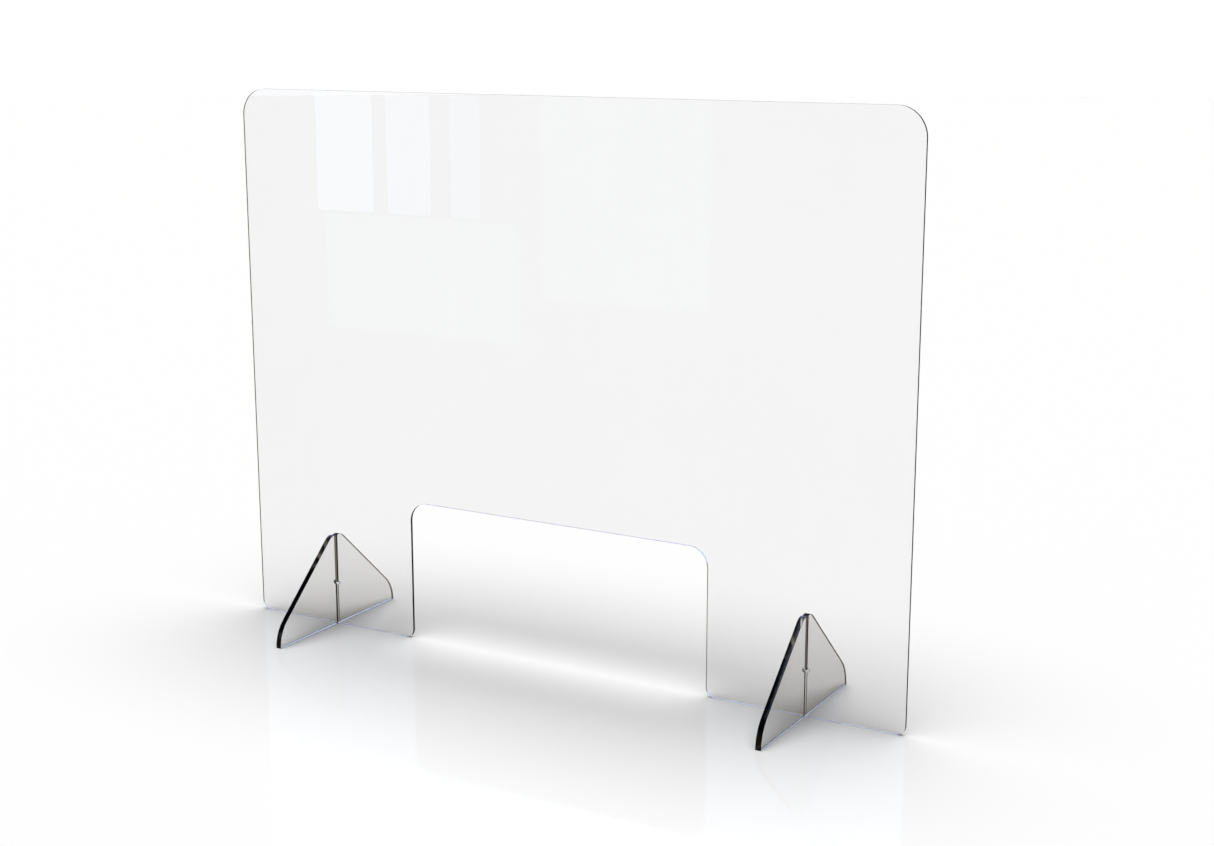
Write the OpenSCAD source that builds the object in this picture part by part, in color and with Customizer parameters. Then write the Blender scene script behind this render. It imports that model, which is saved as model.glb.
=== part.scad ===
// Free-standing counter guard cut from clear acrylic sheet: one upright panel with
// a pass-through opening, pushed down onto two A-shaped feet by cross-lap joints.
// The panel runs along X and stands across the middle of the feet, the front is
// towards -Y, and the counter is the plane z = 0.

/* [Panel] */
// Width of the panel
panel_w = 774.7; // [600:0.1:1000]
// Height of the panel
panel_h = 584.2; // [400:0.1:900]
// Thickness of the panel's sheet
panel_t = 3.175; // [2.5:0.005:5]
// Radius of the two top corners of the panel
top_corner_r = 28.6; // [5:0.1:60]
// Radius of the four bottom corners of the panel's legs
leg_corner_r = 9.5; // [2:0.1:20]

/* [Pass-through opening] */
// Width of the opening between the legs
opening_w = 355.6; // [200:0.1:450]
// Height of the opening above the counter
opening_h = 152.4; // [110:0.1:250]
// Radius of the two top corners of the opening
opening_r = 20.6; // [5:0.1:40]

/* [Feet] */
// Depth of a foot from front to back
foot_d = 203.2; // [150:0.1:300]
// Height of a foot
foot_h = 101.6; // [80:0.1:140]
// Thickness of the feet's sheet
foot_t = 6; // [4:0.1:10]
// Radius of the rounded front and back ends of a foot
end_r = 38.1; // [15:0.1:60]
// Radius of the two corners of a foot's crown
crown_r = 12.7; // [3:0.1:20]
// Length of the flat on top of a foot's crown
crown_flat = 9.2; // [8:0.1:20]

/* [Cross-lap joints] */
// Height at which a panel slot and a foot slot meet
lap_z = 47; // [30:0.1:60]
// How much wider a slot is than the sheet that sits in it
slot_gap = 0.2; // [0.1:0.05:0.6]
// Diameter of the relief holes at the inner corners of the panel's slots
relief_d = 4.8; // [3:0.1:6]
// Radius of the lead-in at a slot's mouth
lead_r = 1.5; // [0.5:0.1:2]

/* [Hidden] */
$fn = 96;

// a cutting shape runs this far past the face it opens
past = 1;
// each foot stands under the middle of a leg, half way from the opening to the side edge
foot_x = (opening_w / 2 + panel_w / 2) / 2;

// centres of the rounded end and of the crown's corner, as [depth, height] in the foot's own plane
end_c = [foot_d / 2 - end_r, 0];
crown_c = [crown_flat / 2, foot_h - crown_r];
// the sloping edge touches both circles, and slope_a is the direction of its outward normal
centre_line = crown_c - end_c;
slope_a = atan2(centre_line[1], centre_line[0]) - acos((end_r - crown_r) / norm(centre_line));
slope_n = [cos(slope_a), sin(slope_a)];

// a point mirrored to the other half of the foot
function other(p) = [-p[0], p[1]];

// rectangle that stands on the X axis, with one radius on its top and one on its bottom corners
module rounded_rect(w, h, r_top, r_bottom) {
    translate([-w / 2, r_bottom]) square([w, h - r_top - r_bottom]);
    translate([-w / 2 + r_bottom, 0]) square([w - 2 * r_bottom, 2 * r_bottom]);
    translate([-w / 2 + r_top, h - 2 * r_top]) square([w - 2 * r_top, 2 * r_top]);
    for (side = [-1, 1]) {
        translate([side * (w / 2 - r_top), h - r_top]) circle(r_top);
        translate([side * (w / 2 - r_bottom), r_bottom]) circle(r_bottom);
    }
}

// gap between two rounded corners that face each other across a mouth in the X axis
module flared_mouth(w, r) {
    for (side = [-1, 1])
        mirror([side < 0 ? 1 : 0, 0]) difference() {
            translate([w / 2 - past, -past]) square([r + past, r + past]);
            translate([w / 2 + r, r]) circle(r);
        }
}

// slot that opens at the X axis, with straight walls and a lead-in
module lap_slot(w, depth) {
    translate([-w / 2, -past]) square([w, depth + past]);
    flared_mouth(w, lead_r);
}

// slot for a foot, with a relief hole in each inner corner that keeps the thin panel from cracking
module panel_slot() {
    slot_w = foot_t + slot_gap;
    lap_slot(slot_w, lap_z);
    for (side = [-1, 1]) translate([side * slot_w / 2, lap_z]) circle(d = relief_d);
}

// pass-through opening, open towards the counter between the rounded legs
module opening() {
    translate([-opening_w / 2, -past]) square([opening_w, opening_h / 2 + past]);
    translate([0, opening_h / 2 - past])
        rounded_rect(opening_w, opening_h / 2 + past, opening_r, 1);
    flared_mouth(opening_w, leg_corner_r);
}

// front outline of the panel with its opening and its two slots
module panel_outline() {
    difference() {
        rounded_rect(panel_w, panel_h, top_corner_r, leg_corner_r);
        opening();
        for (side = [-1, 1]) translate([side * foot_x, 0]) panel_slot();
    }
}

// side outline of a foot, all round, before its slot is cut
module foot_blank() {
    ends = [end_c + end_r * slope_n, crown_c + crown_r * slope_n, crown_c + [0, crown_r]];
    intersection() {
        union() {
            polygon([
                other(end_c), end_c, ends[0], ends[1], ends[2],
                other(ends[2]), other(ends[1]), other(ends[0])
            ]);
            for (side = [-1, 1]) {
                translate([side * end_c[0], end_c[1]]) circle(end_r);
                translate([side * crown_c[0], crown_c[1]]) circle(crown_r);
            }
        }
        translate([-foot_d, 0]) square([2 * foot_d, foot_h + past]);
    }
}

// side outline of a foot with the slot that takes the panel
module foot_outline() {
    difference() {
        foot_blank();
        translate([0, foot_h]) mirror([0, 1]) lap_slot(panel_t + slot_gap, foot_h - lap_z);
    }
}

// a foot whose sheet is centred on the plane x
module foot(x) {
    translate([x, 0, 0]) rotate([90, 0, 90])
        linear_extrude(height = foot_t, center = true) foot_outline();
}

module panel() {
    color([0.86, 0.93, 0.96, 0.35])
        rotate([90, 0, 0]) linear_extrude(height = panel_t, center = true) panel_outline();
}

module left_foot() {
    color([0.80, 0.88, 0.93, 0.45]) foot(-foot_x);
}

module right_foot() {
    color([0.80, 0.88, 0.93, 0.45]) foot(foot_x);
}

panel();
left_foot();
right_foot();
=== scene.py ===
import math

import bpy
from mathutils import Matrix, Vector


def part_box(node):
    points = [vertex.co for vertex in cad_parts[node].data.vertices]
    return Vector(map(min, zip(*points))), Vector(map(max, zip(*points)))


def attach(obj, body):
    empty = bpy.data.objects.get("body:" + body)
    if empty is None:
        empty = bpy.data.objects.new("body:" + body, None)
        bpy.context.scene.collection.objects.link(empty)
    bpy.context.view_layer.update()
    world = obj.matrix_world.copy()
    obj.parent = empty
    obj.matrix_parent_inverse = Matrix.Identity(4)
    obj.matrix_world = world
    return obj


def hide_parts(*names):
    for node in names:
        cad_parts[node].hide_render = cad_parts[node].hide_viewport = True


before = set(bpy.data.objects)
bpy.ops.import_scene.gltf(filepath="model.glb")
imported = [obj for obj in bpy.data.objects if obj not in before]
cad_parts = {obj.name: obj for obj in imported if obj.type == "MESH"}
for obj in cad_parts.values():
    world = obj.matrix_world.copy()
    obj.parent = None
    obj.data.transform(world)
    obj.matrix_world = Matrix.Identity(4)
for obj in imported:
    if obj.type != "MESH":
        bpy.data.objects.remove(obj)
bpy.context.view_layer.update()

# ---------------------------------------------------------------- sizes, in metres

MM = 0.001
BODY_OF = {"panel": "panel", "left_foot": "left_foot", "right_foot": "right_foot"}

# the panel's outline: corner radii, and the pass-through opening between the legs
TOP_CORNER_R = 28.6 * MM
LEG_CORNER_R = 9.5 * MM
OPENING_W = 355.6 * MM
OPENING_H = 152.4 * MM
OPENING_R = 20.6 * MM

# a foot's outline: rounded ends, and the crown with its short flat
END_R = 38.1 * MM
CROWN_R = 12.7 * MM
CROWN_FLAT = 9.2 * MM

# the cross-lap slots
LAP_Z = 47.0 * MM
SLOT_GAP = 0.2 * MM
RELIEF_R = 2.4 * MM
LEAD_R = 1.5 * MM

# flame-polished edges are very slightly round where they meet the faces
ARRIS_R = 0.22 * MM
ARRIS_STEPS = 3
# straight pieces in an arc, for each right angle that it turns
ARC_STEPS = 24
# edges between faces that meet more steeply than this are shaded sharp
SHARP_ANGLE = math.radians(40)
# the least lean of a mitred corner, so that a tight corner isn't moved too far
LEAST_LEAN = 0.35


# ---------------------------------------------------------------- outlines

def arc(centre, radius, start, end):
    """Points of an arc about centre, from angle start to angle end, in radians."""
    steps = max(3, round(abs(end - start) / (math.pi / 2) * ARC_STEPS))
    turns = [start + (end - start) * i / steps for i in range(steps + 1)]
    return [Vector((centre[0] + radius * math.cos(t), centre[1] + radius * math.sin(t))) for t in turns]


def rounded(corners):
    """A closed outline through corners, each (point, radius); a radius of 0 keeps the point as it is."""
    outline = []
    for i, (point, radius) in enumerate(corners):
        if radius == 0:
            outline.append(Vector(point))
            continue
        here = Vector(point)
        back = (Vector(corners[i - 1][0]) - here).normalized()
        on = (Vector(corners[(i + 1) % len(corners)][0]) - here).normalized()
        half = back.angle(on) / 2
        centre = here + (back + on).normalized() * radius / math.sin(half)
        first = here + back * radius / math.tan(half) - centre
        last = here + on * radius / math.tan(half) - centre
        start = math.atan2(first.y, first.x)
        turn = -first.angle_signed(last)
        outline += arc(centre, radius, start, start + turn)
    return outline


def slot_corners(middle, width, depth, relief):
    """Corners of a slot that opens at height 0, walked from its left mouth to its right mouth.

    A relief hole of this radius is centred on each inner corner; 0 leaves the corners square."""
    half = width / 2
    right = arc((half, depth), relief, math.pi, -math.pi / 2) if relief else [Vector((half, depth))]
    left = [Vector((-p.x, p.y)) for p in reversed(right)]
    inner = [((middle + p.x, p.y), 0) for p in left + right]
    return [((middle - half, 0), LEAD_R), *inner, ((middle + half, 0), LEAD_R)]


def panel_outline(width, height, foot_x, foot_t):
    """Front outline of the panel, in X and Z, counter-clockwise seen from the front."""
    slot_w = foot_t + SLOT_GAP
    return rounded([
        ((-width / 2, 0), LEG_CORNER_R),
        *slot_corners(-foot_x, slot_w, LAP_Z, RELIEF_R),
        ((-OPENING_W / 2, 0), LEG_CORNER_R),
        ((-OPENING_W / 2, OPENING_H), OPENING_R),
        ((OPENING_W / 2, OPENING_H), OPENING_R),
        ((OPENING_W / 2, 0), LEG_CORNER_R),
        *slot_corners(foot_x, slot_w, LAP_Z, RELIEF_R),
        ((width / 2, 0), LEG_CORNER_R),
        ((width / 2, height), TOP_CORNER_R),
        ((-width / 2, height), TOP_CORNER_R),
    ])


def foot_outline(depth, height, panel_t):
    """Side outline of a foot, in Y and Z, counter-clockwise seen from +X."""
    end = Vector((depth / 2 - END_R, 0))
    crown = Vector((CROWN_FLAT / 2, height - CROWN_R))
    span = crown - end
    normal = math.atan2(span.y, span.x) - math.acos((END_R - CROWN_R) / span.length)
    back_half = arc(end, END_R, 0, normal) + arc(crown, CROWN_R, normal, math.pi / 2)
    front_half = [Vector((-p.x, p.y)) for p in reversed(back_half)]
    # the slot is drawn opening downwards, then turned over onto the crown
    slot = slot_corners(0, panel_t + SLOT_GAP, height - LAP_Z, 0)
    mouth = [((-x, height - z), r) for (x, z), r in slot]
    corners = [(p, 0) for p in back_half] + mouth + [(p, 0) for p in front_half]
    return rounded(corners)


# ---------------------------------------------------------------- sheet pieces

def inset(outline, amount):
    """The outline moved inwards by amount, with mitred corners."""
    moved = []
    for i, here in enumerate(outline):
        before = (here - outline[i - 1]).normalized()
        after = (outline[(i + 1) % len(outline)] - here).normalized()
        inward = Vector((-before.y - after.y, before.x + after.x)).normalized()
        lean = max(LEAST_LEAN, inward.dot(Vector((-before.y, before.x))))
        moved.append(here + inward * amount / lean)
    return moved


def sheet_mesh(name, outline, thickness, place):
    """A sheet cut to outline, with rounded arrises; place turns (u, v, across) into a point in the frame.

    Faces use material 0 and cut edges use material 1."""
    half = thickness / 2
    quarter = [math.pi / 2 * i / ARRIS_STEPS for i in range(ARRIS_STEPS + 1)]
    rim = [(ARRIS_R * (1 - math.sin(t)), half - ARRIS_R * (1 - math.cos(t))) for t in quarter]
    levels = [(pull, -across) for pull, across in rim] + [(pull, across) for pull, across in reversed(rim)]
    points = []
    for pull, across in levels:
        points += [place(p.x, p.y, across) for p in inset(outline, pull)]
    n = len(outline)
    faces = [tuple(range(n))[::-1], tuple(range(n * (len(levels) - 1), n * len(levels)))]
    for k in range(len(levels) - 1):
        for i in range(n):
            j = (i + 1) % n
            faces.append((n * k + i, n * k + j, n * (k + 1) + j, n * (k + 1) + i))
    mesh = bpy.data.meshes.new(name)
    mesh.from_pydata(points, [], faces)
    mesh.validate()
    mesh.set_sharp_from_angle(angle=SHARP_ANGLE)
    for polygon in mesh.polygons:
        # the first two polygons are the flat faces
        polygon.use_smooth = polygon.index > 1
        polygon.material_index = 1 if polygon.index > 1 else 0
    return mesh


# ---------------------------------------------------------------- materials

ACRYLIC_IOR = 1.491


def node(tree, kind, **settings):
    """A new shader node; settings name its properties, or its inputs by their socket names."""
    made = tree.nodes.new(kind)
    for key, value in settings.items():
        if key in made.bl_rna.properties:
            setattr(made, key, value)
        else:
            made.inputs[key.replace("_", " ")].default_value = value
    return made


def blank_material(name):
    """A material with an empty node tree and its Principled shader."""
    material = bpy.data.materials.new(name)
    material.use_nodes = True
    tree = material.node_tree
    tree.nodes.clear()
    output = node(tree, "ShaderNodeOutputMaterial")
    shader = node(tree, "ShaderNodeBsdfPrincipled")
    tree.links.new(shader.outputs["BSDF"], output.inputs["Surface"])
    return material, tree, shader


def noise(tree, scale, detail, stretch=(1, 1, 1)):
    """Noise over the piece's own coordinates, in features of about 1 / scale metres."""
    coords = node(tree, "ShaderNodeTexCoord")
    mapping = node(tree, "ShaderNodeMapping")
    mapping.inputs["Scale"].default_value = stretch
    texture = node(tree, "ShaderNodeTexNoise", Scale=scale, Detail=detail)
    tree.links.new(coords.outputs["Object"], mapping.inputs["Vector"])
    tree.links.new(mapping.outputs["Vector"], texture.inputs["Vector"])
    return texture.outputs["Fac"]


def ramp(tree, factor, stops):
    """A colour ramp through stops, each (position, colour)."""
    made = node(tree, "ShaderNodeValToRGB")
    elements = made.color_ramp.elements
    while len(elements) < len(stops):
        elements.new(0.5)
    for element, (position, colour) in zip(elements, stops):
        element.position = position
        element.color = (*colour, 1)
    tree.links.new(factor, made.inputs["Fac"])
    return made.outputs["Color"]


def math_node(tree, operation, first, second):
    """One operation on two values, each a socket or a number."""
    made = node(tree, "ShaderNodeMath", operation=operation)
    for value, socket in zip((first, second), made.inputs):
        if isinstance(value, (int, float)):
            socket.default_value = value
        else:
            tree.links.new(value, socket)
    return made.outputs[0]


def bump(tree, height, distance, strength=1.0):
    """A bump from a height field, distance metres deep."""
    made = node(tree, "ShaderNodeBump", Distance=distance, Strength=strength)
    tree.links.new(height, made.inputs["Height"])
    return made.outputs["Normal"]


def clear_sheet(name, tint, deep_tint):
    """The clear faces of an acrylic sheet: cast waviness, a few wiped smears, and a breath of colour."""
    material, tree, shader = blank_material(name)
    shader.inputs["IOR"].default_value = ACRYLIC_IOR
    shader.inputs["Transmission Weight"].default_value = 1.0
    shading = ramp(tree, noise(tree, 6, 2), [(0.3, deep_tint), (0.7, tint)])
    tree.links.new(shading, shader.inputs["Base Color"])
    smear = ramp(tree, noise(tree, 14, 5, (1, 1, 0.35)), [(0.55, (0.0,) * 3), (0.95, (0.03,) * 3)])
    tree.links.new(smear, shader.inputs["Roughness"])
    tree.links.new(bump(tree, noise(tree, 9, 1), 0.00005), shader.inputs["Normal"])
    return material


def cut_edge(name, across, tint, deep_tint):
    """The flame-polished edges of a sheet, with fine cut lines left in them.

    across is the piece's axis through the sheet's thickness, which the cut lines follow."""
    material, tree, shader = blank_material(name)
    shader.inputs["IOR"].default_value = ACRYLIC_IOR
    shader.inputs["Transmission Weight"].default_value = 1.0
    shading = ramp(tree, noise(tree, 28, 3), [(0.35, deep_tint), (0.65, tint)])
    tree.links.new(shading, shader.inputs["Base Color"])
    lines = noise(tree, 900, 2, tuple(0.04 if axis == across else 1 for axis in "xyz"))
    gloss = ramp(tree, lines, [(0.3, (0.02,) * 3), (0.7, (0.10,) * 3)])
    tree.links.new(gloss, shader.inputs["Roughness"])
    tree.links.new(bump(tree, lines, 0.00004), shader.inputs["Normal"])
    return material


panel_face = clear_sheet("panel_clear_face", (0.981, 0.983, 0.988), (0.973, 0.976, 0.981))
panel_edge = cut_edge("panel_cut_edge", "y", (0.95, 0.95, 0.95), (0.80, 0.82, 0.84))
foot_face = clear_sheet("foot_clear_face", (0.925, 0.925, 0.920), (0.905, 0.905, 0.900))
foot_edge = cut_edge("foot_cut_edge", "x", (0.95, 0.95, 0.95), (0.80, 0.82, 0.84))


# ---------------------------------------------------------------- pieces

def add_sheet(name, mesh, materials):
    """Puts a sheet piece in the scene in place of the CAD node that it is named after."""
    for material in materials:
        mesh.materials.append(material)
    piece = bpy.data.objects.new(name + "_sheet", mesh)
    bpy.context.scene.collection.objects.link(piece)
    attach(piece, BODY_OF[name])
    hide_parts(name)
    return piece


panel_lo, panel_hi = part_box("panel")
foot_lo, foot_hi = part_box("right_foot")
panel_size = panel_hi - panel_lo
foot_size = foot_hi - foot_lo
foot_x = (foot_lo.x + foot_hi.x) / 2

add_sheet(
    "panel",
    sheet_mesh(
        "panel",
        panel_outline(panel_size.x, panel_size.z, foot_x, foot_size.x),
        panel_size.y,
        lambda u, v, across: (u, -across, v),
    ),
    (panel_face, panel_edge),
)
for foot_name, middle in (("left_foot", -foot_x), ("right_foot", foot_x)):
    add_sheet(
        foot_name,
        sheet_mesh(
            foot_name,
            foot_outline(foot_size.y, foot_size.z, panel_size.y),
            foot_size.x,
            lambda u, v, across: (middle + across, u, v),
        ),
        (foot_face, foot_edge),
    )


# ---------------------------------------------------------------- camera

CAMERA_AT = Vector((0.9617, -1.5610, 0.6625))
CAMERA_AZIMUTH = math.radians(29.907)
CAMERA_ELEVATION = math.radians(12.439)
# focal length and sensor width, in millimetres
LENS = 55.05
SENSOR = 36

lens = bpy.data.cameras.new("camera")
lens.lens = LENS
lens.sensor_width = SENSOR
camera = bpy.data.objects.new("camera", lens)
bpy.context.scene.collection.objects.link(camera)
camera_back = Vector((
    math.sin(CAMERA_AZIMUTH) * math.cos(CAMERA_ELEVATION),
    -math.cos(CAMERA_AZIMUTH) * math.cos(CAMERA_ELEVATION),
    math.sin(CAMERA_ELEVATION),
))
camera.location = CAMERA_AT
camera.rotation_euler = (-camera_back).to_track_quat("-Z", "Y").to_euler()
bpy.context.scene.camera = camera


# ---------------------------------------------------------------- studio

FLOOR_R = 14.0
FLOOR_STEPS = 96
# just under the counter plane, so that the feet's bottom edges keep a film of air below them
FLOOR_Z = -0.15 * MM
# what is seen straight past the guard is just over full white
BACKDROP = 1.04
# what is seen through a sheet after one reflection
SKY = (0.70, 0.80, 1.10)
# the floor's light: a soft source overhead, this far round from straight up, and a little from everywhere
SOFTBOX = 5.06
SOFTBOX_ANGLE = math.radians(30)
SOFTBOX_BLUR = math.radians(5)
DOME = 0.01
FLOOR_WHITE = 0.82
FLOOR_MIRROR = 0.07
# the floor as reflections see it: a painted warm glow, emitted in place of the lit floor
PAINTED_FLOOR_GLOW = (0.17, 0.145, 0.115)
# the windows that the panel reflects: x and z of a pane's centre, its width, height and brightness
WINDOW_Y = -1.0
WINDOW_TINT = (0.52, 0.72, 1.0)
WINDOW_PANES = [
    (-1.030, 0.430, 0.12, 0.20, 1.60),
    (-0.895, 0.430, 0.09, 0.20, 1.20),
    (-0.780, 0.430, 0.06, 0.20, 0.80),
    (-0.875, 0.225, 0.40, 0.20, 0.50),
    (-0.480, 0.370, 0.31, 0.33, 0.50),
]


def studio_world():
    """White all round for what is seen straight or through a sheet, a soft light overhead for the floor, and a
    dim studio for everything that is seen by reflection."""
    world = bpy.data.worlds.new("studio")
    bpy.context.scene.world = world
    world.use_nodes = True
    tree = world.node_tree
    tree.nodes.clear()
    output = node(tree, "ShaderNodeOutputWorld")
    coords = node(tree, "ShaderNodeTexCoord")
    split = node(tree, "ShaderNodeSeparateXYZ")
    tree.links.new(coords.outputs["Generated"], split.inputs["Vector"])
    height = split.outputs["Z"]

    overhead = node(tree, "ShaderNodeMapRange", interpolation_type="SMOOTHSTEP")
    tree.links.new(height, overhead.inputs["Value"])
    overhead.inputs["From Min"].default_value = math.cos(SOFTBOX_ANGLE + SOFTBOX_BLUR)
    overhead.inputs["From Max"].default_value = math.cos(SOFTBOX_ANGLE - SOFTBOX_BLUR)
    overhead.inputs["To Min"].default_value = DOME
    overhead.inputs["To Max"].default_value = SOFTBOX
    lighting = node(tree, "ShaderNodeBackground", Color=(1, 1, 1, 1))
    tree.links.new(overhead.outputs[0], lighting.inputs["Strength"])
    white = node(tree, "ShaderNodeBackground", Color=(1, 1, 1, 1), Strength=BACKDROP)
    sky = node(tree, "ShaderNodeBackground", Color=(*SKY, 1), Strength=1.0)
    dim = node(tree, "ShaderNodeBackground", Strength=1.0)
    shade = ramp(tree, height, [
        (0.00, (0.13, 0.095, 0.06)),
        (0.25, (0.10, 0.075, 0.05)),
        (0.45, (0.02, 0.025, 0.04)),
        (0.88, (0.02, 0.02, 0.03)),
        (0.97, (1.60, 1.90, 2.60)),
    ])
    tree.links.new(shade, dim.inputs["Color"])

    path = node(tree, "ShaderNodeLightPath")
    # seen straight or through a sheet: the white backdrop; through a sheet after one reflection: the sky
    once = math_node(tree, "MINIMUM", path.outputs["Glossy Depth"], 1.0)
    through = node(tree, "ShaderNodeMixShader")
    tree.links.new(once, through.inputs["Fac"])
    tree.links.new(white.outputs[0], through.inputs[1])
    tree.links.new(sky.outputs[0], through.inputs[2])
    # otherwise the floor's light, or by reflection the dim studio
    lit = node(tree, "ShaderNodeMixShader")
    tree.links.new(once, lit.inputs["Fac"])
    tree.links.new(lighting.outputs[0], lit.inputs[1])
    tree.links.new(dim.outputs[0], lit.inputs[2])
    few = math_node(tree, "LESS_THAN", path.outputs["Glossy Depth"], 1.5)
    passed = math_node(tree, "MULTIPLY", path.outputs["Is Transmission Ray"], few)
    straight = math_node(tree, "MAXIMUM", path.outputs["Is Camera Ray"], passed)
    seen = node(tree, "ShaderNodeMixShader")
    tree.links.new(straight, seen.inputs["Fac"])
    tree.links.new(lit.outputs[0], seen.inputs[1])
    tree.links.new(through.outputs[0], seen.inputs[2])
    tree.links.new(seen.outputs[0], output.inputs["Surface"])


def studio_floor():
    """A pale, faintly glossy floor, wide enough to fill the view; reflections see it as a painted warm glow, an
    emission in place of the lit floor.
    """
    mesh = bpy.data.meshes.new("floor")
    turns = [2 * math.pi * i / FLOOR_STEPS for i in range(FLOOR_STEPS)]
    rim = [(FLOOR_R * math.cos(turn), FLOOR_R * math.sin(turn), FLOOR_Z) for turn in turns]
    mesh.from_pydata(rim, [], [tuple(range(FLOOR_STEPS))])
    floor = bpy.data.objects.new("floor", mesh)
    bpy.context.scene.collection.objects.link(floor)
    material = bpy.data.materials.new("pale_floor")
    material.use_nodes = True
    tree = material.node_tree
    tree.nodes.clear()
    output = node(tree, "ShaderNodeOutputMaterial")
    matt = node(tree, "ShaderNodeBsdfDiffuse", Color=(FLOOR_WHITE, FLOOR_WHITE, FLOOR_WHITE, 1))
    mirror = node(tree, "ShaderNodeBsdfGlossy", Roughness=0.03)
    pale = node(tree, "ShaderNodeMixShader", Fac=FLOOR_MIRROR)
    tree.links.new(matt.outputs[0], pale.inputs[1])
    tree.links.new(mirror.outputs[0], pale.inputs[2])
    # painted reflection: what reflections see of the floor is this fixed warm glow, not lit floor
    painted_glow = node(tree, "ShaderNodeEmission", Color=(*PAINTED_FLOOR_GLOW, 1))
    path = node(tree, "ShaderNodeLightPath")
    mix = node(tree, "ShaderNodeMixShader")
    tree.links.new(math_node(tree, "MINIMUM", path.outputs["Glossy Depth"], 1.0), mix.inputs["Fac"])
    tree.links.new(pale.outputs[0], mix.inputs[1])
    tree.links.new(painted_glow.outputs[0], mix.inputs[2])
    tree.links.new(mix.outputs[0], output.inputs["Surface"])
    mesh.materials.append(material)


def window_cards():
    """Soft window panes in front of the guard, to the left. Only reflections see them."""
    for x, z, width, height, radiance in WINDOW_PANES:
        light = bpy.data.lights.new("window_pane", "AREA")
        light.shape = "RECTANGLE"
        light.size = width
        light.size_y = height
        light.color = WINDOW_TINT
        light.energy = math.pi * width * height * radiance
        card = bpy.data.objects.new("window_pane", light)
        bpy.context.scene.collection.objects.link(card)
        card.location = (x, WINDOW_Y, z)
        # a lamp shines along its own -Z, so this turns it to face the guard
        card.rotation_euler = (math.radians(90), 0, 0)
        card.visible_camera = False
        card.visible_diffuse = False
        card.visible_transmission = False


studio_world()
studio_floor()
window_cards()

scene = bpy.context.scene
scene.view_settings.view_transform = "Standard"
# the sheets shade the floor as they would with the light that they bend left out
scene.cycles.caustics_refractive = False
scene.cycles.caustics_reflective = False
